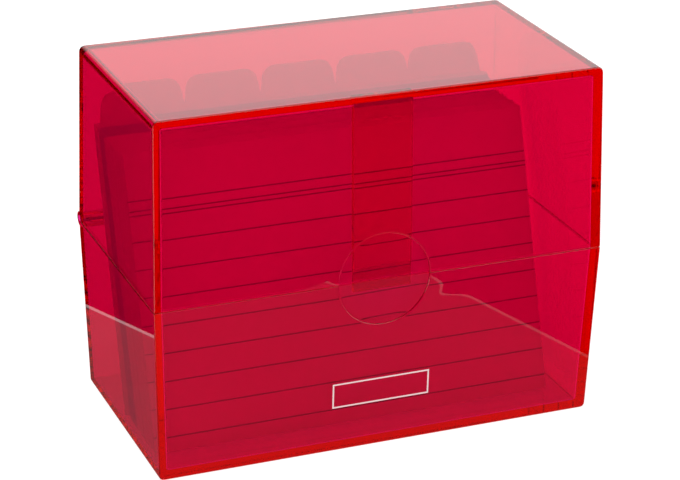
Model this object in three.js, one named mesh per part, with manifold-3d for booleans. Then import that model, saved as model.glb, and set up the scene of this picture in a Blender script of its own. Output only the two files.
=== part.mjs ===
// A hinged index-card box of translucent plastic, holding a pack of A7 cards and five tabbed dividers.
// Units are millimetres, +Z is up, +Y points to the hinge side and +X to the right seen from the front.
// The origin is on the table, under the middle of the whole object.

import * as THREE from 'three';
import { mergeVertices } from 'three/addons/utils/BufferGeometryUtils.js';
import Module from 'manifold-3d';

// The box. It is widest at the seam, and both halves taper away from it.
const SEAM_WIDTH = 118;
const SEAM_DEPTH = 63.1;
const BOX_HEIGHT = 93;
const SEAM_HEIGHT = 45.6;
const WALL = 2.2;
const FLOOR = 2;
const ROOF = 2.4;
const TAPER_X = { base: 1.2, lid: 1 };
const TAPER_Y = { base: 1.9, lid: 1.5 };
const CORNER_RADIUS = 0.5;
const CORNER_STEPS = 3;
const SEAM_CHAMFER = 0.2;
const SEAM_GAP = 0.1;

// The top and bottom edges are rounder along the sides than along the front and back.
const SIDE_EDGE_RADIUS = { base: 1.2, lid: 1.5 };
const FACE_EDGE_RADIUS = 0.5;
const EDGE_STEPS = 6;

// The shallow round thumb dish, half on each shell. It has a low step at its rim and a hollow middle.
const DISH_RADIUS = 12;
const DISH_RIM = 0.2;
const DISH_HOLLOW = 0.45;
const DISH_RINGS = 6;
const DISH_SEGMENTS = 64;

// The closing tongue behind the lid's front wall, which drops just inside the base.
const TONGUE_WIDTH = 15.3;
const TONGUE_DROP = 3;
const TONGUE_OUTER_INSET = 2.5;
const TONGUE_INNER_INSET = 3.6;
const TONGUE_ROOT_INSET = 1.6;
const TONGUE_ROOT_HEIGHT = 3.3;

// The hinge: at each end of the back edge, two base knuckles with a lid knuckle between them on a steel pin.
const KNUCKLE_RADIUS = 1.9;
const HINGE_OFFSET = 0.8;
const KNUCKLE_ROOT = 1.2;
const KNUCKLE_CLEARANCE = 0.3;
const KNUCKLE_SEGMENTS = 40;
const PIN_RADIUS = 0.8;
const PIN_BORE_RADIUS = 0.9;
const PIN_SEGMENTS = 32;
const HINGE_SPANS = {
  outerBase: [54.6, 58.6],
  lid: [50.1, 54.3],
  innerBase: [46.8, 49.8],
  pin: [47.1, 58.2],
};

// The cards: A7, standing in two packs that lean back.
const CARD_WIDTH = 105;
const CARD_HEIGHT = 74;
const CARD_THICKNESS = 0.2;
const CARD_LEFT = -53.7;
const SHEET_FLOOR_GAP = 0.2;

// Each pack goes from its first card to its last. A foot is how far the card's lower edge stands behind the
// front face of the box, and a lean is in degrees from upright.
const PACKS = [
  { name: 'ruled_card', cards: 27, feet: [12.6, 26.2], leans: [17, 18.3] },
  { name: 'tinted_card', cards: 16, feet: [26.65, 33.1], leans: [18.2, 16.5] },
];

// The dividers stand behind the cards. Each has one rounded tab, a fifth of the width wide, and stands a
// little further left than the one in front of it.
const DIVIDER_LEFTS = [-53.3, -53.5, -53.7, -53.9, -54.4];
const DIVIDER_THICKNESS = 0.3;
const DIVIDER_FOOT = 33.52;
const DIVIDER_PITCH = 0.42;
const DIVIDER_LEAN = 16.5;
const DIVIDER_BODY = 74.6;
const TAB_HEIGHT = 8.1;
const TAB_SLOPE = 1.3;
const TAB_CORNER = 3.4;
const TAB_CORNER_STEPS = 8;

const HALF_WIDTH = SEAM_WIDTH / 2;
const HALF_DEPTH = SEAM_DEPTH / 2;
const HINGE_Y = HALF_DEPTH + HINGE_OFFSET;
const BOX_SHIFT = -(HINGE_OFFSET + KNUCKLE_RADIUS) / 2;
const CUT_MARGIN = 1;

const wasm = await Module();
wasm.setup();

const materials = {
  shell: new THREE.MeshStandardMaterial({
    color: 0xd00a2c,
    roughness: 0.08,
    metalness: 0,
    transparent: true,
    opacity: 0.45,
  }),
  steel: new THREE.MeshStandardMaterial({ color: 0xb8bbc0, roughness: 0.3, metalness: 1 }),
  ruled_card: new THREE.MeshStandardMaterial({ color: 0xf4f2ee, roughness: 0.85, metalness: 0 }),
  tinted_card: new THREE.MeshStandardMaterial({ color: 0x7fa9c4, roughness: 0.85, metalness: 0 }),
  divider: new THREE.MeshStandardMaterial({ color: 0x8f9aa0, roughness: 0.8, metalness: 0 }),
};

// Turns a closed three.js geometry into a solid that can be joined and cut.
function toSolid(geometry) {
  const bare = geometry.clone();
  bare.deleteAttribute('normal');
  bare.deleteAttribute('uv');
  const merged = mergeVertices(bare, 1e-4);
  return new wasm.Manifold(new wasm.Mesh({
    numProp: 3,
    vertProperties: new Float32Array(merged.attributes.position.array),
    triVerts: new Uint32Array(merged.index.array),
  }));
}

// Turns a solid back into a three.js geometry.
function toGeometry(solid) {
  const mesh = solid.getMesh();
  const geometry = new THREE.BufferGeometry();
  geometry.setAttribute('position', new THREE.BufferAttribute(mesh.vertProperties, 3));
  geometry.setIndex(new THREE.BufferAttribute(mesh.triVerts, 1));
  geometry.computeVertexNormals();
  return geometry;
}

function box(low, high) {
  const size = high.map((value, axis) => value - low[axis]);
  const geometry = new THREE.BoxGeometry(...size);
  geometry.translate(...high.map((value, axis) => (value + low[axis]) / 2));
  return toSolid(geometry);
}

// A cylinder whose axis runs along X from one x to the other.
function rodAlongX(radius, from, to, y, z, segments) {
  const geometry = new THREE.CylinderGeometry(radius, radius, to - from, segments);
  geometry.rotateZ(Math.PI / 2);
  geometry.translate((from + to) / 2, y, z);
  return geometry;
}

// How far the wall has tapered in, along X and Y, at a height above or below the seam.
function taperAt(height) {
  const shell = height > SEAM_HEIGHT ? 'lid' : 'base';
  const travel = shell === 'lid' ? BOX_HEIGHT - SEAM_HEIGHT : SEAM_HEIGHT;
  const share = Math.abs(height - SEAM_HEIGHT) / travel;
  return { x: TAPER_X[shell] * share, y: TAPER_Y[shell] * share };
}

// The points of a rounded rectangle, set in from the outer wall faces at the given height.
function wallOutline(height, insetX, insetY) {
  const taper = taperAt(height);
  const reachX = HALF_WIDTH - taper.x - insetX - CORNER_RADIUS;
  const reachY = HALF_DEPTH - taper.y - insetY - CORNER_RADIUS;
  const quadrants = [[1, 1], [-1, 1], [-1, -1], [1, -1]];
  return quadrants.flatMap(([signX, signY], quadrant) => {
    const arc = new THREE.EllipseCurve(
      signX * reachX, signY * reachY, CORNER_RADIUS, CORNER_RADIUS,
      quadrant * Math.PI / 2, (quadrant + 1) * Math.PI / 2,
    );
    return arc.getPoints(CORNER_STEPS);
  });
}

// Joins outlines at rising levels into one closed solid. A level holds its height, its inset, which is the
// same all round unless insetY is given, and taperHeight for levels that reach past the end of a wall.
function loft(levels) {
  const outlines = levels.map(({ height, inset, insetY = inset, taperHeight = height }) => (
    wallOutline(taperHeight, inset, insetY).map((point) => [point.x, point.y, height])
  ));
  const count = outlines[0].length;
  const index = [];
  for (let level = 0; level + 1 < outlines.length; level += 1) {
    for (let i = 0; i < count; i += 1) {
      const a = level * count + i;
      const b = level * count + (i + 1) % count;
      index.push(a, b, b + count, a, b + count, a + count);
    }
  }
  const top = (outlines.length - 1) * count;
  for (let i = 1; i + 1 < count; i += 1) {
    index.push(0, i + 1, i);
    index.push(top, top + i, top + i + 1);
  }
  const geometry = new THREE.BufferGeometry();
  geometry.setAttribute('position', new THREE.Float32BufferAttribute(outlines.flat(2), 3));
  geometry.setIndex(index);
  return toSolid(geometry);
}

// How far a rounded edge has drawn in at a distance short of its end.
function edgeInset(distance, radius) {
  return distance < radius ? radius - Math.sqrt(radius ** 2 - (radius - distance) ** 2) : 0;
}

// The levels of the rounded edge that ends the base below or the lid above.
function roundedEdge(shell) {
  const sideRadius = SIDE_EDGE_RADIUS[shell];
  const radii = [sideRadius, FACE_EDGE_RADIUS];
  const distances = radii.flatMap((radius) => (
    Array.from({ length: EDGE_STEPS + 1 }, (_, step) => (
      radius * (1 - Math.cos((step / EDGE_STEPS) * Math.PI / 2))
    ))
  ));
  const sorted = [...new Set(distances)].sort((a, b) => a - b);
  const levels = sorted.map((distance) => ({
    height: shell === 'lid' ? BOX_HEIGHT - distance : distance,
    inset: edgeInset(distance, sideRadius),
    insetY: edgeInset(distance, FACE_EDGE_RADIUS),
  }));
  return shell === 'lid' ? levels.reverse() : levels;
}

// A solid that cuts the thumb dish out of the front face, with its axis along Y. It follows the taper of
// both walls, so that the rim stays a full circle.
function dishCutter() {
  const sphereRadius = (DISH_RADIUS ** 2 + DISH_HOLLOW ** 2) / (2 * DISH_HOLLOW);
  const profile = [new THREE.Vector2(0, -CUT_MARGIN), new THREE.Vector2(DISH_RADIUS, -CUT_MARGIN)];
  for (let ring = DISH_RINGS; ring >= 0; ring -= 1) {
    const radius = DISH_RADIUS * ring / DISH_RINGS;
    const hollow = Math.sqrt(sphereRadius ** 2 - radius ** 2) - (sphereRadius - DISH_HOLLOW);
    profile.push(new THREE.Vector2(radius, DISH_RIM + hollow));
  }
  const geometry = new THREE.LatheGeometry(profile, DISH_SEGMENTS);
  geometry.translate(0, -HALF_DEPTH, -SEAM_HEIGHT);
  geometry.applyMatrix4(new THREE.Matrix4().makeScale(1, 1, -1));
  const position = geometry.attributes.position;
  for (let i = 0; i < position.count; i += 1) {
    const y = position.getY(i);
    if (y > -HALF_DEPTH) {
      position.setY(i, y + taperAt(position.getZ(i)).y);
    }
  }
  const flipped = geometry.index.array;
  for (let i = 0; i < flipped.length; i += 3) {
    [flipped[i], flipped[i + 1]] = [flipped[i + 1], flipped[i]];
  }
  return toSolid(geometry);
}

// One knuckle at one end: a barrel, with a root block that ties it into the wall above or below the seam.
function knuckle(span, side, rootDirection) {
  const [near, far] = span;
  const from = side > 0 ? near : -far;
  const to = side > 0 ? far : -near;
  const barrel = toSolid(rodAlongX(KNUCKLE_RADIUS, from, to, HINGE_Y, SEAM_HEIGHT, KNUCKLE_SEGMENTS));
  const rootEdge = SEAM_HEIGHT + rootDirection * KNUCKLE_RADIUS;
  const root = box(
    [from, HINGE_Y - KNUCKLE_ROOT, Math.min(SEAM_HEIGHT, rootEdge)],
    [to, HINGE_Y, Math.max(SEAM_HEIGHT, rootEdge)],
  );
  return barrel.add(root);
}

// The room that one shell leaves for a knuckle of the other. At the box's side the room is open.
function knuckleRoom(span, side) {
  const near = span[0] - KNUCKLE_CLEARANCE;
  const end = span[1] + KNUCKLE_CLEARANCE;
  const far = end > HALF_WIDTH - WALL ? HALF_WIDTH + CUT_MARGIN : end;
  const from = side > 0 ? near : -far;
  const to = side > 0 ? far : -near;
  const radius = KNUCKLE_RADIUS + KNUCKLE_CLEARANCE;
  return toSolid(rodAlongX(radius, from, to, HINGE_Y, SEAM_HEIGHT, KNUCKLE_SEGMENTS));
}

// Leaves room for the other shell's knuckles, adds the shell's own, and bores them for the pins.
function fitHinge(shell, own, other, rootDirection) {
  let fitted = shell;
  for (const side of [-1, 1]) {
    for (const span of other) {
      fitted = fitted.subtract(knuckleRoom(span, side));
    }
    for (const span of own) {
      fitted = fitted.add(knuckle(span, side, rootDirection));
    }
  }
  const reach = HALF_WIDTH + CUT_MARGIN;
  const bore = rodAlongX(PIN_BORE_RADIUS, -reach, reach, HINGE_Y, SEAM_HEIGHT, PIN_SEGMENTS);
  return fitted.subtract(toSolid(bore));
}

// The lower shell: drafted walls, a rounded bottom edge, a flat floor and a plain flat rim.
function baseTray() {
  const rim = SEAM_HEIGHT - SEAM_GAP;
  const outer = loft([
    ...roundedEdge('base'),
    { height: rim - SEAM_CHAMFER, inset: 0 },
    { height: rim, inset: SEAM_CHAMFER },
  ]);
  const hollow = loft([
    { height: FLOOR, inset: WALL },
    { height: rim, inset: WALL },
    { height: rim + CUT_MARGIN, inset: WALL, taperHeight: rim },
  ]);
  const shell = outer.subtract(hollow).subtract(dishCutter());
  return fitHinge(shell, [HINGE_SPANS.outerBase, HINGE_SPANS.innerBase], [HINGE_SPANS.lid], -1);
}

// The tongue's side outline, from its free lower end to the roof, extruded across its width.
function tongue() {
  const front = -HALF_DEPTH;
  const lowEnd = SEAM_HEIGHT - TONGUE_DROP;
  const root = SEAM_HEIGHT + TONGUE_ROOT_HEIGHT;
  const roof = BOX_HEIGHT - ROOF / 2;
  const lean = taperAt(roof).y;
  const outline = new THREE.Shape([
    new THREE.Vector2(front + TONGUE_OUTER_INSET, lowEnd),
    new THREE.Vector2(front + TONGUE_INNER_INSET, lowEnd),
    new THREE.Vector2(front + TONGUE_INNER_INSET, SEAM_HEIGHT),
    new THREE.Vector2(front + TONGUE_INNER_INSET + lean, roof),
    new THREE.Vector2(front + TONGUE_ROOT_INSET + lean, roof),
    new THREE.Vector2(front + TONGUE_ROOT_INSET, root),
    new THREE.Vector2(front + TONGUE_OUTER_INSET, root),
  ]);
  const geometry = new THREE.ExtrudeGeometry(outline, { depth: TONGUE_WIDTH, bevelEnabled: false });
  geometry.translate(0, 0, -TONGUE_WIDTH / 2);
  // The outline's x and y become the object's y and z, and the extrusion runs along x.
  const turn = new THREE.Matrix4().makeBasis(
    new THREE.Vector3(0, 1, 0),
    new THREE.Vector3(0, 0, 1),
    new THREE.Vector3(1, 0, 0),
  );
  geometry.applyMatrix4(turn);
  return toSolid(geometry);
}

// The upper shell: drafted walls, a crisp rounded top edge, a plain flat rim and the closing tongue.
function lid() {
  const rim = SEAM_HEIGHT + SEAM_GAP;
  const outer = loft([
    { height: rim, inset: SEAM_CHAMFER },
    { height: rim + SEAM_CHAMFER, inset: 0 },
    ...roundedEdge('lid'),
  ]);
  const hollow = loft([
    { height: rim - CUT_MARGIN, inset: WALL, taperHeight: rim },
    { height: rim, inset: WALL },
    { height: BOX_HEIGHT - ROOF, inset: WALL },
  ]);
  const shell = outer.subtract(hollow).add(tongue()).subtract(dishCutter());
  return fitHinge(shell, [HINGE_SPANS.lid], [HINGE_SPANS.outerBase, HINGE_SPANS.innerBase], 1);
}

function hingePin(side) {
  const [near, far] = HINGE_SPANS.pin;
  const from = side > 0 ? near : -far;
  const to = side > 0 ? far : -near;
  return rodAlongX(PIN_RADIUS, from, to, HINGE_Y, SEAM_HEIGHT, PIN_SEGMENTS);
}

// A plain card, with its lower front edge on the local X axis.
function cardGeometry() {
  const geometry = new THREE.BoxGeometry(CARD_WIDTH, CARD_THICKNESS, CARD_HEIGHT);
  geometry.translate(CARD_LEFT + CARD_WIDTH / 2, CARD_THICKNESS / 2, CARD_HEIGHT / 2);
  return geometry;
}

// A divider with its tab in the given place, counted from the left, and its lower front edge on the X axis.
function dividerGeometry(place) {
  const tabWidth = CARD_WIDTH / DIVIDER_LEFTS.length;
  const tabLeft = place * tabWidth;
  const tabRight = tabLeft + tabWidth;
  const tabTop = DIVIDER_BODY + TAB_HEIGHT;
  const cornerSlope = TAB_SLOPE * (TAB_HEIGHT - TAB_CORNER) / TAB_HEIGHT;
  const outline = new THREE.Shape();
  outline.moveTo(0, 0);
  outline.lineTo(CARD_WIDTH, 0);
  outline.lineTo(CARD_WIDTH, DIVIDER_BODY);
  outline.lineTo(tabRight, DIVIDER_BODY);
  outline.lineTo(tabRight - cornerSlope, tabTop - TAB_CORNER);
  outline.quadraticCurveTo(tabRight - TAB_SLOPE, tabTop, tabRight - TAB_SLOPE - TAB_CORNER, tabTop);
  outline.lineTo(tabLeft + TAB_SLOPE + TAB_CORNER, tabTop);
  outline.quadraticCurveTo(tabLeft + TAB_SLOPE, tabTop, tabLeft + cornerSlope, tabTop - TAB_CORNER);
  outline.lineTo(tabLeft, DIVIDER_BODY);
  outline.lineTo(0, DIVIDER_BODY);
  const geometry = new THREE.ExtrudeGeometry(outline, {
    depth: DIVIDER_THICKNESS,
    bevelEnabled: false,
    curveSegments: TAB_CORNER_STEPS,
  });
  geometry.rotateX(Math.PI / 2);
  geometry.translate(DIVIDER_LEFTS[place], DIVIDER_THICKNESS, 0);
  return geometry;
}

const group = new THREE.Group();
group.position.y = BOX_SHIFT;

function addMesh(name, geometry, material) {
  const mesh = new THREE.Mesh(geometry, material);
  mesh.name = name;
  group.add(mesh);
  return mesh;
}

// Stands a sheet on the floor of the base. Its foot is measured back from the front face of the box.
function standSheet(name, geometry, material, foot, lean) {
  const mesh = addMesh(name, geometry, material);
  mesh.position.set(0, foot - HALF_DEPTH, FLOOR + SHEET_FLOOR_GAP);
  mesh.rotation.x = -THREE.MathUtils.degToRad(lean);
}

addMesh('base_tray', toGeometry(baseTray()), materials.shell);
addMesh('lid', toGeometry(lid()), materials.shell);
addMesh('hinge_pin_left', hingePin(-1), materials.steel);
addMesh('hinge_pin_right', hingePin(1), materials.steel);

for (const pack of PACKS) {
  for (let card = 0; card < pack.cards; card += 1) {
    const share = card / (pack.cards - 1);
    standSheet(
      `${pack.name}_${String(card + 1).padStart(2, '0')}`,
      cardGeometry(),
      materials[pack.name],
      THREE.MathUtils.lerp(...pack.feet, share),
      THREE.MathUtils.lerp(...pack.leans, share),
    );
  }
}

DIVIDER_LEFTS.forEach((_, place) => {
  standSheet(
    `divider_${place + 1}`,
    dividerGeometry(place),
    materials.divider,
    DIVIDER_FOOT + DIVIDER_PITCH * place,
    DIVIDER_LEAN,
  );
});

export default group;
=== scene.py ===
"""A closed, see-through red index-card box with its ruled cards and tabbed dividers, on a pale studio floor.

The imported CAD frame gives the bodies, and the pins, cards and dividers with their places. This script adds
the finely shaped shells, the cards between the CAD's cards, the printed ruling, the panel outline and all
materials. Lengths are in millimetres up to the last step of each mesh, which turns them into metres. Only
the materials and the camera's clipping are given in metres.
"""

import math
import random

import bmesh
import bpy
from mathutils import Matrix, Vector


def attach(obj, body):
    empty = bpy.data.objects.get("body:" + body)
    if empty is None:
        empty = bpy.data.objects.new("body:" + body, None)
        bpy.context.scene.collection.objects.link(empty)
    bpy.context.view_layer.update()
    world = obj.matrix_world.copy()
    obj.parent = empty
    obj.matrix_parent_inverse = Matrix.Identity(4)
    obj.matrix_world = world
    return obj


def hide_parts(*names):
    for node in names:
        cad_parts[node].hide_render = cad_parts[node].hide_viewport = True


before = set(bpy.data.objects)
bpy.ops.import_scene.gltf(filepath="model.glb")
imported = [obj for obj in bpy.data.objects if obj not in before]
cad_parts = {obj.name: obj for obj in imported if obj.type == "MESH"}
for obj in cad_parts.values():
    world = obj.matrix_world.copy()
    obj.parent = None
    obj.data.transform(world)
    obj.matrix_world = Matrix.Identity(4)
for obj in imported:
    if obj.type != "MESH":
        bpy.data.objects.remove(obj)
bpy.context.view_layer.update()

MM = 0.001

# The box has the CAD source's driving sizes, with a finer seam, rounded rims and more steps in its curves.
# It is widest at the seam and tapers away from it.
SEAM_WIDTH = 118.0
SEAM_DEPTH = 63.1
BOX_HEIGHT = 93.0
SEAM_HEIGHT = 45.6
WALL = 2.2
FLOOR = 2.0
ROOF = 2.4
TAPER_X = {"base": 1.2, "lid": 1.0}
TAPER_Y = {"base": 1.9, "lid": 1.5}
CORNER_RADIUS = 0.5
CORNER_STEPS = 6
SIDE_EDGE_RADIUS = {"base": 1.2, "lid": 1.5}
FACE_EDGE_RADIUS = 0.5
INNER_EDGE_RADIUS = 0.5
EDGE_STEPS = 8
RIM_RADIUS = 0.26
RIM_STEPS = 3
SEAM_GAP = 0.04

DISH_RADIUS = 12.0
DISH_RIM = 0.2
DISH_RIM_WIDTH = 0.45
DISH_RIM_STEPS = 5
DISH_GROOVE_WIDTH = 0.35
DISH_GROOVE_DEPTH = 0.15
DISH_HOLLOW = 0.45
DISH_RINGS = 10
DISH_SEGMENTS = 128

TONGUE_WIDTH = 15.3
TONGUE_DROP = 3.0
TONGUE_OUTER_INSET = 2.5
TONGUE_INNER_INSET = 3.6
TONGUE_ROOT_INSET = 1.6
TONGUE_ROOT_HEIGHT = 3.3

KNUCKLE_RADIUS = 1.9
HINGE_OFFSET = 0.8
KNUCKLE_ROOT = 1.2
KNUCKLE_CLEARANCE = 0.3
KNUCKLE_SEGMENTS = 64
PIN_BORE_RADIUS = 0.9
OUTER_BASE_SPAN = (54.6, 58.6)
LID_SPAN = (50.1, 54.3)
INNER_BASE_SPAN = (46.8, 49.8)

CARD_WIDTH = 105.0
CARD_HEIGHT = 74.0
CARD_LEFT = -53.7
SHEET_FLOOR_GAP = 0.2
CARD_THICKNESS = 0.2

# Each pack has this many CAD cards. Feet are how far the first and the last card stand behind the front face
# at the seam, leans are their angles in degrees, and between is the thickness of the cards in the gaps.
RULED_PACK = {"cards": 27, "feet": (12.6, 26.2), "leans": (17.0, 18.3), "between": 0.26}
# The second pack stands behind the white cards, and its cards are a darker bluish grey.
DARKER_REAR_PACK = {"cards": 16, "feet": (26.65, 33.1), "leans": (18.2, 16.5), "between": 0.045}
BETWEEN_GAP = 0.01
CARD_SLIP = (-0.3, 0.4)
CARD_RISE = (0.0, 0.3)

# The print on the front card, measured down from its top edge.
HEADER_LINES = (11.56, 14.06, 15.2)
FIRST_BODY_LINE = 21.68
BODY_PITCH = 6.945
BODY_LINES = 8
LINE_WIDTH = 0.32
PRINT_LIFT = 0.02

# The plain printed outline on the front of the base.
PANEL_CENTRE_X = 0.0
PANEL_CENTRE_Z = 15.39
PANEL_WIDTH = 25.9
PANEL_HEIGHT = 6.7
PANEL_LINE = 0.4

HALF_WIDTH = SEAM_WIDTH / 2
HALF_DEPTH = SEAM_DEPTH / 2
HINGE_Y = HALF_DEPTH + HINGE_OFFSET
BOX_SHIFT = -(HINGE_OFFSET + KNUCKLE_RADIUS) / 2
CUT_MARGIN = 1.0
SHARP_ANGLE = math.radians(35)
WELD_DISTANCE = 0.002


# ---------------------------------------------------------------- mesh helpers


def make_object(name, mesh):
    piece = bpy.data.objects.new(name, mesh)
    bpy.context.scene.collection.objects.link(piece)
    return piece


def object_from(name, vertices, faces):
    mesh = bpy.data.meshes.new(name)
    mesh.from_pydata(vertices, [], faces)
    mesh.update()
    return make_object(name, mesh)


def to_metres(piece):
    """Moves a mesh built around the box's own centre, in millimetres, into the CAD frame, in metres."""
    shift = Matrix.Translation((0, BOX_SHIFT, 0))
    piece.data.transform(Matrix.Scale(MM, 4) @ shift)
    piece.data.update()


def combine(target, tool, operation):
    """Joins or cuts the target with the tool, and removes the tool."""
    modifier = target.modifiers.new("combine", "BOOLEAN")
    modifier.operation = operation
    modifier.solver = "EXACT"
    modifier.object = tool
    bpy.context.view_layer.update()
    evaluated = target.evaluated_get(bpy.context.evaluated_depsgraph_get())
    mesh = bpy.data.meshes.new_from_object(evaluated)
    target.modifiers.clear()
    target.data = mesh
    bpy.data.objects.remove(tool)
    return target


def rod_along_x(radius, start, end, y, z, segments):
    """A closed cylinder along X between two x values."""
    mesh = bpy.data.meshes.new("rod")
    shape = bmesh.new()
    bmesh.ops.create_cone(
        shape, cap_ends=True, segments=segments, radius1=radius, radius2=radius, depth=end - start
    )
    turn = Matrix.Rotation(math.pi / 2, 4, "Y")
    shape.transform(Matrix.Translation(((start + end) / 2, y, z)) @ turn)
    shape.to_mesh(mesh)
    shape.free()
    return make_object("rod", mesh)


def block(name, low, high):
    """A closed box between two corners."""
    mesh = bpy.data.meshes.new(name)
    shape = bmesh.new()
    bmesh.ops.create_cube(shape, size=1)
    low, high = Vector(low), Vector(high)
    size = Matrix.Diagonal((*(high - low), 1))
    shape.transform(Matrix.Translation((low + high) / 2) @ size)
    shape.to_mesh(mesh)
    shape.free()
    return make_object(name, mesh)


def shade(piece):
    """Smooth shading that keeps real edges crisp and large flat walls flat."""
    mesh = piece.data
    mesh.shade_smooth()
    mesh.set_sharp_from_angle(angle=SHARP_ANGLE)
    weighted = piece.modifiers.new("weighted normals", "WEIGHTED_NORMAL")
    weighted.keep_sharp = True


# ---------------------------------------------------------------- the shells


def taper_at(height):
    """How far the outer wall has tapered in along X and Y at a height."""
    if height > SEAM_HEIGHT:
        share = (height - SEAM_HEIGHT) / (BOX_HEIGHT - SEAM_HEIGHT)
        return TAPER_X["lid"] * share, TAPER_Y["lid"] * share
    share = (SEAM_HEIGHT - height) / SEAM_HEIGHT
    return TAPER_X["base"] * share, TAPER_Y["base"] * share


def wall_outline(height, inset_x, inset_y):
    """A rounded rectangle set in from the outer wall faces at a height."""
    taper_x, taper_y = taper_at(height)
    reach_x = HALF_WIDTH - taper_x - inset_x - CORNER_RADIUS
    reach_y = HALF_DEPTH - taper_y - inset_y - CORNER_RADIUS
    points = []
    for quadrant, (sign_x, sign_y) in enumerate(((1, 1), (-1, 1), (-1, -1), (1, -1))):
        for step in range(CORNER_STEPS + 1):
            angle = (quadrant + step / CORNER_STEPS) * math.pi / 2
            x = sign_x * reach_x + CORNER_RADIUS * math.cos(angle)
            y = sign_y * reach_y + CORNER_RADIUS * math.sin(angle)
            points.append((x, y))
    return points


def loft(name, levels):
    """One closed skin through outlines at (height, inset along X, inset along Y)."""
    vertices = []
    for height, inset_x, inset_y in levels:
        vertices += [(x, y, height) for x, y in wall_outline(height, inset_x, inset_y)]
    count = 4 * (CORNER_STEPS + 1)
    faces = [tuple(reversed(range(count)))]
    for level in range(len(levels) - 1):
        start = level * count
        for i in range(count):
            j = (i + 1) % count
            faces.append((start + i, start + j, start + count + j, start + count + i))
    last = (len(levels) - 1) * count
    faces.append(tuple(range(last, last + count)))
    return object_from(name, vertices, faces)


def level(height, inset):
    """A level with the same inset all round."""
    return height, inset, inset


def rim_levels(height, inset, turns):
    """Levels round a rim's small quarter arc. The arc's centre is given, and its angles in quarter turns."""
    levels = []
    for step in range(RIM_STEPS + 1):
        angle = (turns[0] + (turns[1] - turns[0]) * step / RIM_STEPS) * math.pi / 2
        levels.append(level(height + RIM_RADIUS * math.sin(angle), inset - RIM_RADIUS * math.cos(angle)))
    return levels


def edge_inset(distance, radius):
    """How far a rounded edge has drawn in at a distance short of its end."""
    if distance >= radius:
        return 0.0
    return radius - math.sqrt(radius**2 - (radius - distance) ** 2)


def edge_levels(end, direction, side_radius, face_radius, wall=0.0):
    """The levels of a rounded edge from its end inwards. Direction is 1 where the edge is below its wall."""
    distances = {0.0}
    for radius in (side_radius, face_radius):
        for step in range(1, EDGE_STEPS + 1):
            distances.add(radius * (1 - math.cos(step / EDGE_STEPS * math.pi / 2)))
    levels = []
    for distance in sorted(distances):
        inset_x = wall + edge_inset(distance, side_radius)
        inset_y = wall + edge_inset(distance, face_radius)
        levels.append((end + direction * distance, inset_x, inset_y))
    return levels


def dish_tool():
    """The solid that cuts the thumb dish out of both front walls: a shallow hollow, a fine groove and a step.

    Each ring is a radius and a depth behind the tapered wall face. The last one is outside the wall.
    """
    hollow_radius = DISH_RADIUS - DISH_GROOVE_WIDTH
    sphere = (hollow_radius**2 + DISH_HOLLOW**2) / (2 * DISH_HOLLOW)
    rings = []
    for ring in range(1, DISH_RINGS + 1):
        radius = hollow_radius * ring / DISH_RINGS
        rings.append((radius, DISH_RIM + math.sqrt(sphere**2 - radius**2) - sphere + DISH_HOLLOW))
    angles = [step / DISH_RIM_STEPS * math.pi / 2 for step in range(1, DISH_RIM_STEPS + 1)]
    for angle in angles:
        radius = hollow_radius + DISH_GROOVE_WIDTH * math.sin(angle)
        rings.append((radius, DISH_RIM + DISH_GROOVE_DEPTH * (1 - math.cos(angle))))
    for angle in angles:
        radius = DISH_RADIUS + DISH_RIM_WIDTH * (1 - math.cos(angle))
        rings.append((radius, (DISH_RIM + DISH_GROOVE_DEPTH) * (1 - math.sin(angle))))
    rings.append((DISH_RADIUS + DISH_RIM_WIDTH, -CUT_MARGIN))
    vertices = [(0, DISH_RIM + DISH_HOLLOW - HALF_DEPTH, SEAM_HEIGHT)]
    for radius, depth in rings:
        for segment in range(DISH_SEGMENTS):
            angle = 2 * math.pi * segment / DISH_SEGMENTS
            x = radius * math.cos(angle)
            z = SEAM_HEIGHT + radius * math.sin(angle)
            taper = taper_at(z)[1] if depth >= 0 else 0
            vertices.append((x, depth + taper - HALF_DEPTH, z))
    faces = []
    for segment in range(DISH_SEGMENTS):
        following = (segment + 1) % DISH_SEGMENTS
        faces.append((0, 1 + following, 1 + segment))
        for ring in range(len(rings) - 1):
            a = 1 + ring * DISH_SEGMENTS + segment
            b = 1 + ring * DISH_SEGMENTS + following
            faces.append((a, b, b + DISH_SEGMENTS, a + DISH_SEGMENTS))
    last = 1 + (len(rings) - 1) * DISH_SEGMENTS
    faces.append(tuple(range(last, last + DISH_SEGMENTS)))
    return object_from("dish", vertices, faces)


def sided(span, side):
    """A span of x on the right side, or its mirror image on the left."""
    return span if side > 0 else (-span[1], -span[0])


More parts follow.
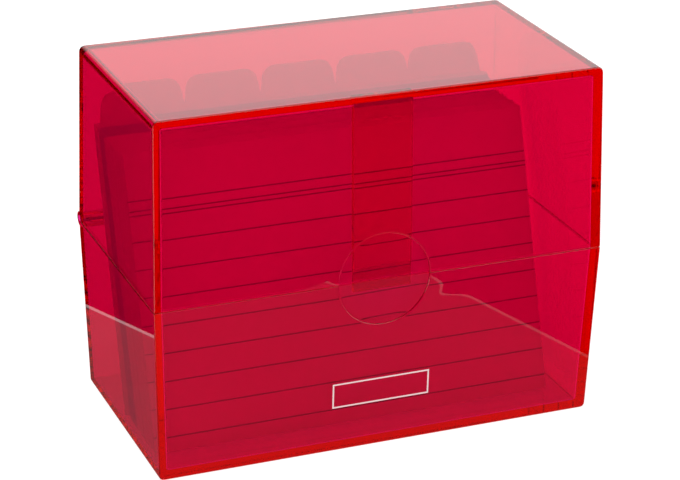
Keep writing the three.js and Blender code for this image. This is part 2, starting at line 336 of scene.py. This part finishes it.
def fit_hinge(shell, own, other, root_direction):
    """Leaves room for the other shell's knuckles, adds the shell's own and bores them for the pins.

    Root direction is the side of the hinge axis that the shell is on: 1 above it, -1 below it.
    """
    for side in (-1, 1):
        for span in other:
            far = span[1] + KNUCKLE_CLEARANCE
            if far > HALF_WIDTH - WALL:
                far = HALF_WIDTH + CUT_MARGIN
            start, end = sided((span[0] - KNUCKLE_CLEARANCE, far), side)
            room = rod_along_x(
                KNUCKLE_RADIUS + KNUCKLE_CLEARANCE, start, end, HINGE_Y, SEAM_HEIGHT, KNUCKLE_SEGMENTS
            )
            combine(shell, room, "DIFFERENCE")
        for span in own:
            start, end = sided(span, side)
            barrel = rod_along_x(KNUCKLE_RADIUS, start, end, HINGE_Y, SEAM_HEIGHT, KNUCKLE_SEGMENTS)
            edge = SEAM_HEIGHT + root_direction * KNUCKLE_RADIUS
            root = block(
                "root",
                (start, HINGE_Y - KNUCKLE_ROOT, min(SEAM_HEIGHT, edge)),
                (end, HINGE_Y, max(SEAM_HEIGHT, edge)),
            )
            combine(barrel, root, "UNION")
            combine(shell, barrel, "UNION")
    reach = HALF_WIDTH + CUT_MARGIN
    bore = rod_along_x(PIN_BORE_RADIUS, -reach, reach, HINGE_Y, SEAM_HEIGHT, KNUCKLE_SEGMENTS)
    return combine(shell, bore, "DIFFERENCE")


def weld(piece):
    """Merges the slivers that cuts leave along the surface."""
    shape = bmesh.new()
    shape.from_mesh(piece.data)
    bmesh.ops.remove_doubles(shape, verts=shape.verts, dist=WELD_DISTANCE)
    bmesh.ops.dissolve_degenerate(shape, dist=WELD_DISTANCE, edges=shape.edges)
    shape.to_mesh(piece.data)
    shape.free()


def finish_shell(shell, node, body):
    """Cleans and shades a shell, and lets it stand for its CAD node."""
    weld(shell)
    shade(shell)
    to_metres(shell)
    shell.data.materials.clear()
    shell.data.materials.append(clear_red)
    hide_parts(node)
    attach(shell, body)


def base_shell():
    """The lower shell as one skin: up the outside, over the flat rim and down the inside to the floor."""
    rim = SEAM_HEIGHT - SEAM_GAP
    floor_edge = edge_levels(FLOOR, 1, INNER_EDGE_RADIUS, INNER_EDGE_RADIUS, WALL)
    shell = loft("base_shell", [
        *edge_levels(0, 1, SIDE_EDGE_RADIUS["base"], FACE_EDGE_RADIUS),
        *rim_levels(rim - RIM_RADIUS, RIM_RADIUS, (0, 1)),
        level(rim, WALL),
        *reversed(floor_edge),
    ])
    combine(shell, dish_tool(), "DIFFERENCE")
    fit_hinge(shell, (OUTER_BASE_SPAN, INNER_BASE_SPAN), (LID_SPAN,), -1)
    return shell


def tongue():
    """The closing tongue behind the lid's front wall, as an outline in Y and Z drawn out along X."""
    front = -HALF_DEPTH
    low = SEAM_HEIGHT - TONGUE_DROP
    root = SEAM_HEIGHT + TONGUE_ROOT_HEIGHT
    roof = BOX_HEIGHT - ROOF / 2
    lean = taper_at(roof)[1]
    outline = (
        (front + TONGUE_OUTER_INSET, low),
        (front + TONGUE_INNER_INSET, low),
        (front + TONGUE_INNER_INSET, SEAM_HEIGHT),
        (front + TONGUE_INNER_INSET + lean, roof),
        (front + TONGUE_ROOT_INSET + lean, roof),
        (front + TONGUE_ROOT_INSET, root),
        (front + TONGUE_OUTER_INSET, root),
    )
    count = len(outline)
    half = TONGUE_WIDTH / 2
    vertices = [(x, y, z) for x in (-half, half) for y, z in outline]
    faces = [tuple(reversed(range(count))), tuple(range(count, 2 * count))]
    for i in range(count):
        j = (i + 1) % count
        faces.append((i, j, count + j, count + i))
    return object_from("tongue", vertices, faces)


def lid_shell():
    """The upper shell as one skin: down the inside from the roof, round the flat rim and up the outside."""
    rim = SEAM_HEIGHT + SEAM_GAP
    top_edge = edge_levels(BOX_HEIGHT, -1, SIDE_EDGE_RADIUS["lid"], FACE_EDGE_RADIUS)
    shell = loft("lid_shell", [
        *edge_levels(BOX_HEIGHT - ROOF, -1, INNER_EDGE_RADIUS, INNER_EDGE_RADIUS, WALL),
        level(rim, WALL),
        *rim_levels(rim + RIM_RADIUS, RIM_RADIUS, (-1, 0)),
        *reversed(top_edge),
    ])
    combine(shell, tongue(), "UNION")
    combine(shell, dish_tool(), "DIFFERENCE")
    fit_hinge(shell, (LID_SPAN,), (OUTER_BASE_SPAN, INNER_BASE_SPAN), 1)
    return shell


# ---------------------------------------------------------------- cards and print


def sheet_frame(foot, lean):
    """Where a leaning sheet's lower front edge is, its way up and its way back."""
    angle = math.radians(lean)
    origin = Vector((0, foot - HALF_DEPTH, FLOOR + SHEET_FLOOR_GAP))
    up = Vector((0, math.sin(angle), math.cos(angle)))
    back = Vector((0, math.cos(angle), -math.sin(angle)))
    return origin, up, back


def leaning_block(left, right, low, high, near, far, foot, lean):
    """The vertices and faces of a thin block in a leaning sheet's own directions."""
    origin, up, back = sheet_frame(foot, lean)
    corners = []
    for height in (low, high):
        for depth in (near, far):
            for x in (left, right):
                corners.append(origin + Vector((x, 0, 0)) + up * height + back * depth)
    faces = [(0, 2, 3, 1), (4, 5, 7, 6), (0, 1, 5, 4), (2, 6, 7, 3), (0, 4, 6, 2), (1, 3, 7, 5)]
    return [tuple(corner) for corner in corners], faces


def leaning_blocks(name, blocks):
    """One object that holds several separate thin blocks."""
    vertices, faces = [], []
    for values in blocks:
        corners, sides = leaning_block(*values)
        faces += [tuple(len(vertices) + index for index in side) for side in sides]
        vertices += corners
    piece = object_from(name, vertices, faces)
    to_metres(piece)
    return piece


def between(pair, share):
    """The value a share of the way from the first to the second."""
    return pair[0] + (pair[1] - pair[0]) * share


def cards_between(name, pack, body, material, seed):
    """The cards that stand between the CAD's cards of one pack, a little uneven at their edges."""
    draw = random.Random(seed)
    gaps = pack["cards"] - 1
    near = CARD_THICKNESS + BETWEEN_GAP
    far = near + pack["between"]
    blocks = []
    for gap in range(gaps):
        share = gap / gaps
        left = CARD_LEFT + draw.uniform(*CARD_SLIP)
        rise = draw.uniform(*CARD_RISE)
        foot = between(pack["feet"], share)
        lean = between(pack["leans"], share)
        blocks.append((left, left + CARD_WIDTH, rise, CARD_HEIGHT + rise, near, far, foot, lean))
    piece = leaning_blocks(name, blocks)
    piece.data.materials.append(material)
    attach(piece, body)


def front_card_ruling():
    """The printed lines on the front card, as very thin raised strips."""
    body_lines = [FIRST_BODY_LINE + BODY_PITCH * line for line in range(BODY_LINES)]
    blocks = []
    for drop in (*HEADER_LINES, *body_lines):
        middle = CARD_HEIGHT - drop
        blocks.append((
            CARD_LEFT, CARD_LEFT + CARD_WIDTH,
            middle - LINE_WIDTH / 2, middle + LINE_WIDTH / 2,
            -PRINT_LIFT, 0,
            RULED_PACK["feet"][0], RULED_PACK["leans"][0],
        ))
    piece = leaning_blocks("front_card_ruling", blocks)
    piece.data.materials.append(ruling_ink)
    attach(piece, "ruled_pack")


def front_panel_outline():
    """A plain printed rectangle on the front wall of the base, following its taper."""
    half_width, half_height = PANEL_WIDTH / 2, PANEL_HEIGHT / 2
    left, right = PANEL_CENTRE_X - half_width, PANEL_CENTRE_X + half_width
    low, high = PANEL_CENTRE_Z - half_height, PANEL_CENTRE_Z + half_height
    outer = ((left, low), (right, low), (right, high), (left, high))
    inner = (
        (left + PANEL_LINE, low + PANEL_LINE),
        (right - PANEL_LINE, low + PANEL_LINE),
        (right - PANEL_LINE, high - PANEL_LINE),
        (left + PANEL_LINE, high - PANEL_LINE),
    )
    vertices = []
    for lift in (PRINT_LIFT, 0):
        for ring in (outer, inner):
            for x, z in ring:
                vertices.append((x, -HALF_DEPTH + taper_at(z)[1] - lift, z))
    faces = []
    for i in range(4):
        j = (i + 1) % 4
        faces.append((i, j, 4 + j, 4 + i))
        faces.append((8 + j, 8 + i, 12 + i, 12 + j))
        faces.append((j, i, 8 + i, 8 + j))
        faces.append((4 + i, 4 + j, 12 + j, 12 + i))
    piece = object_from("front_panel_outline", vertices, faces)
    to_metres(piece)
    piece.data.materials.append(panel_ink)
    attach(piece, "base")


# ---------------------------------------------------------------- materials


class Nodes:
    """A small helper that adds nodes to one material and links them."""

    def __init__(self, name):
        self.material = bpy.data.materials.new(name)
        self.material.use_nodes = True
        self.tree = self.material.node_tree
        self.shader = self.tree.nodes["Principled BSDF"]
        self.output = self.tree.nodes["Material Output"]
        self.place = self.add("ShaderNodeTexCoord").outputs["Object"]

    def add(self, kind, **values):
        node = self.tree.nodes.new(kind)
        for name, value in values.items():
            setattr(node, name, value)
        return node

    def link(self, source, target):
        self.tree.links.new(source, target)

    def noise(self, scale, detail=2.0, roughness=0.5, stretch=(1, 1, 1)):
        """Noise in the object's space, its scale per metre. A stretch below 1 lengthens it on that axis."""
        mapping = self.add("ShaderNodeMapping")
        mapping.inputs["Scale"].default_value = stretch
        self.link(self.place, mapping.inputs["Vector"])
        noise = self.add("ShaderNodeTexNoise")
        noise.inputs["Scale"].default_value = scale
        noise.inputs["Detail"].default_value = detail
        noise.inputs["Roughness"].default_value = roughness
        self.link(mapping.outputs["Vector"], noise.inputs["Vector"])
        return noise.outputs["Fac"]

    def ranged(self, source, low, high, from_low=0.0, from_high=1.0):
        ranged = self.add("ShaderNodeMapRange")
        ranged.inputs["From Min"].default_value = from_low
        ranged.inputs["From Max"].default_value = from_high
        ranged.inputs["To Min"].default_value = low
        ranged.inputs["To Max"].default_value = high
        self.link(source, ranged.inputs["Value"])
        return ranged.outputs["Result"]

    def mixed(self, factor, first, second):
        mix = self.add("ShaderNodeMix", data_type="RGBA")
        mix.inputs["A"].default_value = (*first, 1)
        mix.inputs["B"].default_value = (*second, 1)
        self.link(factor, mix.inputs["Factor"])
        return mix.outputs["Result"]

    def bump(self, height, strength, distance):
        bump = self.add("ShaderNodeBump")
        bump.inputs["Strength"].default_value = strength
        bump.inputs["Distance"].default_value = distance
        self.link(height, bump.inputs["Height"])
        self.link(bump.outputs["Normal"], self.shader.inputs["Normal"])


# Polystyrene. Its surface tint and the absorption of its body give the red together: a wall seen face on lets
# some blue through, and one seen edge on is pure red. The density is per metre.
PLASTIC_IOR = 1.59
SURFACE_TINT = (0.78, 0.03, 0.34)
BODY_COLOUR = (0.9955, 0.50, 0.73)
BODY_DENSITY = 1000


def clear_red_plastic():
    """Glossy see-through plastic with faint smudges and the slight ripple of moulding."""
    nodes = Nodes("clear_red_plastic")
    shader = nodes.shader
    shader.inputs["Base Color"].default_value = (*SURFACE_TINT, 1)
    shader.inputs["IOR"].default_value = PLASTIC_IOR
    shader.inputs["Transmission Weight"].default_value = 1.0
    smudges = nodes.noise(45, detail=4, roughness=0.6)
    roughness = nodes.ranged(smudges, 0.0, 0.04, from_low=0.45, from_high=0.8)
    nodes.link(roughness, shader.inputs["Roughness"])
    nodes.bump(nodes.noise(120, detail=3), strength=0.1, distance=0.00002)
    absorption = nodes.add("ShaderNodeVolumeAbsorption")
    absorption.inputs["Color"].default_value = (*BODY_COLOUR, 1)
    absorption.inputs["Density"].default_value = BODY_DENSITY
    nodes.link(absorption.outputs["Volume"], nodes.output.inputs["Volume"])
    return nodes.material


def paper(name, light, dark, fibre=900):
    """Matt paper or board between two close colours, with raised fibres of the given fineness."""
    nodes = Nodes(name)
    cloud = nodes.noise(60, detail=3)
    nodes.link(nodes.mixed(cloud, dark, light), nodes.shader.inputs["Base Color"])
    fibres = nodes.noise(fibre, detail=5, roughness=0.7)
    nodes.link(nodes.ranged(fibres, 0.75, 0.95), nodes.shader.inputs["Roughness"])
    nodes.bump(fibres, strength=0.25, distance=0.00008)
    return nodes.material


def ink(name, light, dark, roughness):
    """A printed line with a fine speckle."""
    nodes = Nodes(name)
    speckle = nodes.noise(1500, detail=3)
    nodes.link(nodes.mixed(speckle, dark, light), nodes.shader.inputs["Base Color"])
    nodes.link(nodes.ranged(speckle, roughness, roughness + 0.15), nodes.shader.inputs["Roughness"])
    nodes.bump(speckle, strength=0.2, distance=0.00002)
    return nodes.material


def drawn_steel():
    """Plain wire, with drawing marks along its length."""
    nodes = Nodes("drawn_steel")
    nodes.shader.inputs["Metallic"].default_value = 1.0
    drawing = nodes.noise(900, detail=4, stretch=(0.05, 1, 1))
    colour = nodes.mixed(drawing, (0.42, 0.43, 0.45), (0.66, 0.67, 0.69))
    nodes.link(colour, nodes.shader.inputs["Base Color"])
    nodes.link(nodes.ranged(drawing, 0.18, 0.4), nodes.shader.inputs["Roughness"])
    nodes.bump(drawing, strength=0.2, distance=0.00003)
    return nodes.material


FLOOR_GLOW = 0.75


def studio_floor():
    """A pale floor that glows a little, like a light table, so that light also enters the box from below."""
    nodes = Nodes("studio_floor")
    cloud = nodes.noise(3, detail=2)
    nodes.link(nodes.mixed(cloud, (0.34, 0.34, 0.34), (0.36, 0.36, 0.36)), nodes.shader.inputs["Base Color"])
    nodes.shader.inputs["Roughness"].default_value = 0.9
    nodes.shader.inputs["Specular IOR Level"].default_value = 0.1
    nodes.shader.inputs["Emission Color"].default_value = (1, 1, 1, 1)
    nodes.shader.inputs["Emission Strength"].default_value = FLOOR_GLOW
    return nodes.material


def dress(prefix, material):
    """Gives the finished material to every CAD node whose name starts so."""
    for name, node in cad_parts.items():
        if name.startswith(prefix):
            node.data.materials.clear()
            node.data.materials.append(material)


# ---------------------------------------------------------------- stage


FLOOR_GAP = 0.05
FLOOR_REACH = 3000
FLOOR_DEPTH = 10


def lay_floor():
    """A wide pale slab just under the box. It doesn't show in the plastic's reflections."""
    low = (-FLOOR_REACH, -FLOOR_REACH, -FLOOR_DEPTH)
    high = (FLOOR_REACH, FLOOR_REACH, -FLOOR_GAP)
    floor = block("studio_floor", low, high)
    floor.data.transform(Matrix.Scale(MM, 4))
    floor.data.materials.append(studio_floor())
    floor.visible_glossy = False


# Glowing strips under the box, seen only in reflections, paint the faint reflection of a sheet of paper low
# on its walls. They are turned about the box's middle, and the sheet's edges glow brighter as a painted
# highlight. The right edge bends in where the sheet curls.
SHEET_TURN = 22.0
SHEET_LEFT = -92.4
SHEET_RIGHT = 85.3
SHEET_NEAR = -130.0
SHEET_FAR = 100.0
SHEET_STEP = 1.0
CURL_PLACE = -74.0
CURL_LENGTH = 3.2
CURL_REACH = 5.0
SHEET_EDGE_WIDTH = 1.2
SHEET_GAP = 0.02
SHEET_REFLECTION_GLOW = 0.1
SHEET_EDGE_HIGHLIGHT_GLOW = 0.65
SHEET_UNEVENNESS = 0.2


def painted_reflection_strip(name, left, right, strength):
    """A glowing strip on the floor between two edges given along its length, seen only in reflections: a
    painted reflection.
    """
    turn = Matrix.Rotation(math.radians(-SHEET_TURN), 3, "Z")
    count = round((SHEET_FAR - SHEET_NEAR) / SHEET_STEP) + 1
    vertices = []
    for row in range(count):
        along = SHEET_NEAR + SHEET_STEP * row
        for edge in (left, right):
            vertices.append(turn @ Vector((edge(along), along, -SHEET_GAP)))
    faces = [(2 * row, 2 * row + 1, 2 * row + 3, 2 * row + 2) for row in range(count - 1)]
    strip = object_from(name, vertices, faces)
    strip.data.transform(Matrix.Scale(MM, 4))
    nodes = Nodes(name)
    nodes.shader.inputs["Base Color"].default_value = (0, 0, 0, 1)
    nodes.shader.inputs["Specular IOR Level"].default_value = 0
    nodes.shader.inputs["Emission Color"].default_value = (1, 1, 1, 1)
    low, high = strength * (1 - SHEET_UNEVENNESS), strength * (1 + SHEET_UNEVENNESS)
    glow = nodes.ranged(nodes.noise(30, detail=3), low, high)
    nodes.link(glow, nodes.shader.inputs["Emission Strength"])
    strip.data.materials.append(nodes.material)
    strip.visible_camera = False
    strip.visible_diffuse = False
    strip.visible_transmission = False
    strip.visible_shadow = False


def lay_painted_sheet_reflection():
    """The painted reflection of the sheet, and its two brighter edges, which are painted highlights."""

    def right_edge(along):
        return SHEET_RIGHT - CURL_REACH * math.exp(-(((along - CURL_PLACE) / CURL_LENGTH) ** 2))

    painted_reflection_strip("sheet", lambda along: SHEET_LEFT, right_edge, SHEET_REFLECTION_GLOW)
    painted_reflection_strip(
        "sheet_left_edge_painted_highlight",
        lambda along: SHEET_LEFT - SHEET_EDGE_WIDTH,
        lambda along: SHEET_LEFT,
        SHEET_EDGE_HIGHLIGHT_GLOW,
    )
    painted_reflection_strip(
        "sheet_right_edge_painted_highlight",
        right_edge,
        lambda along: right_edge(along) + SHEET_EDGE_WIDTH,
        SHEET_EDGE_HIGHLIGHT_GLOW,
    )


# The surround is white, with a broad soft key light from above and in front. Each glow is a direction, the
# cosines where it starts and is full, and its strength.
SURROUND = 1.0
KEY_GLOW = ((-0.25, -0.65, 0.72), 0.3, 1.0, 1.4)

# What mirrors off the plastic is dark, apart from these glows: high on the right, low on the left, and below.
MIRRORED_GLOWS = (
    ((0.60, 0.25, 0.75), 0.2, 0.66, 1.35),
    ((-0.86, -0.35, -0.38), 0.75, 0.95, 1.0),
    ((0.0, 0.0, -1.0), 0.55, 0.8, 1.0),
)


def light_world():
    """Lights the scene from all round, and gives rays that mirror off the plastic a surround of their own."""
    world = bpy.data.worlds.new("studio")
    bpy.context.scene.world = world
    world.use_nodes = True
    tree = world.node_tree
    place = tree.nodes.new("ShaderNodeTexCoord")

    def combined(operation, first, second):
        node = tree.nodes.new("ShaderNodeMath")
        node.operation = operation
        for socket, value in zip(node.inputs, (first, second)):
            if isinstance(value, float):
                socket.default_value = value
            else:
                tree.links.new(value, socket)
        return node.outputs["Value"]

    def glow(direction, start, full, strength):
        towards = tree.nodes.new("ShaderNodeVectorMath")
        towards.operation = "DOT_PRODUCT"
        towards.inputs[1].default_value = direction
        tree.links.new(place.outputs["Generated"], towards.inputs[0])
        ranged = tree.nodes.new("ShaderNodeMapRange")
        ranged.interpolation_type = "SMOOTHSTEP"
        ranged.inputs["From Min"].default_value = start
        ranged.inputs["From Max"].default_value = full
        ranged.inputs["To Max"].default_value = strength
        tree.links.new(towards.outputs["Value"], ranged.inputs["Value"])
        return ranged.outputs["Result"]

    mirrored = glow(*MIRRORED_GLOWS[0])
    for values in MIRRORED_GLOWS[1:]:
        mirrored = combined("ADD", mirrored, glow(*values))
    path = tree.nodes.new("ShaderNodeLightPath")
    is_mirrored = combined("MULTIPLY", path.outputs["Is Glossy Ray"], path.outputs["Is Reflection Ray"])
    mix = tree.nodes.new("ShaderNodeMix")
    mix.data_type = "FLOAT"
    tree.links.new(is_mirrored, mix.inputs["Factor"])
    tree.links.new(combined("ADD", glow(*KEY_GLOW), SURROUND), mix.inputs["A"])
    tree.links.new(mirrored, mix.inputs["B"])
    background = tree.nodes["Background"]
    background.inputs["Color"].default_value = (1, 1, 1, 1)
    tree.links.new(mix.outputs["Result"], background.inputs["Strength"])


# The camera looks at a point just below the middle of the box, from the front left and a little above.
CAMERA_AZIMUTH = -22.04
CAMERA_ELEVATION = 22.60
CAMERA_ROLL = 0.63
CAMERA_DISTANCE = 629.3
CAMERA_TARGET = Vector((0.75, -1.57, 43.68))
CAMERA_LENS = 130.6
SENSOR_WIDTH = 36
CLIP_START = 0.01
CLIP_END = 20


def place_camera():
    azimuth, elevation = math.radians(CAMERA_AZIMUTH), math.radians(CAMERA_ELEVATION)
    back = Vector((
        math.sin(azimuth) * math.cos(elevation),
        -math.cos(azimuth) * math.cos(elevation),
        math.sin(elevation),
    ))
    data = bpy.data.cameras.new("camera")
    data.lens = CAMERA_LENS
    data.sensor_width = SENSOR_WIDTH
    data.clip_start = CLIP_START
    data.clip_end = CLIP_END
    camera = bpy.data.objects.new("camera", data)
    bpy.context.scene.collection.objects.link(camera)
    camera.location = (CAMERA_TARGET + back * CAMERA_DISTANCE) * MM
    facing = (-back).to_track_quat("-Z", "Y").to_matrix().to_4x4()
    roll = Matrix.Rotation(math.radians(CAMERA_ROLL), 4, "Z")
    camera.rotation_euler = (facing @ roll).to_euler()
    bpy.context.scene.camera = camera


def set_look():
    """Plain colours, and enough bounces for light that runs along inside the walls to reach their edges."""
    scene = bpy.context.scene
    scene.view_settings.view_transform = "Standard"
    scene.cycles.use_denoising = True
    scene.cycles.max_bounces = 160
    scene.cycles.transmission_bounces = 32
    scene.cycles.glossy_bounces = 128
    scene.cycles.diffuse_bounces = 6
    scene.cycles.caustics_refractive = True
    scene.cycles.caustics_reflective = True


# ---------------------------------------------------------------- the scene

place_camera()
light_world()
set_look()
lay_floor()
lay_painted_sheet_reflection()

clear_red = clear_red_plastic()
white_card = paper("white_card", (0.93, 0.92, 0.90), (0.89, 0.88, 0.86))
# The second pack's cards are a darker bluish grey than the white cards in front of them.
tinted_card = paper("tinted_card", (0.62, 0.71, 0.76), (0.58, 0.67, 0.72))
divider_board = paper("divider_board", (0.93, 0.92, 0.90), (0.87, 0.86, 0.84), fibre=500)
ruling_ink = ink("ruling_ink", (0.34, 0.33, 0.38), (0.27, 0.26, 0.31), roughness=0.5)
panel_ink = ink("panel_ink", (0.58, 0.44, 0.45), (0.52, 0.39, 0.40), roughness=0.35)

dress("ruled_card", white_card)
dress("tinted_card", tinted_card)
dress("divider_", divider_board)
dress("hinge_pin", drawn_steel())

finish_shell(base_shell(), "base_tray", "base")
finish_shell(lid_shell(), "lid", "lid")

cards_between("ruled_cards_between", RULED_PACK, "ruled_pack", white_card, seed=11)
cards_between("darker_cards_between", DARKER_REAR_PACK, "tinted_pack", tinted_card, seed=12)
front_card_ruling()
front_panel_outline()
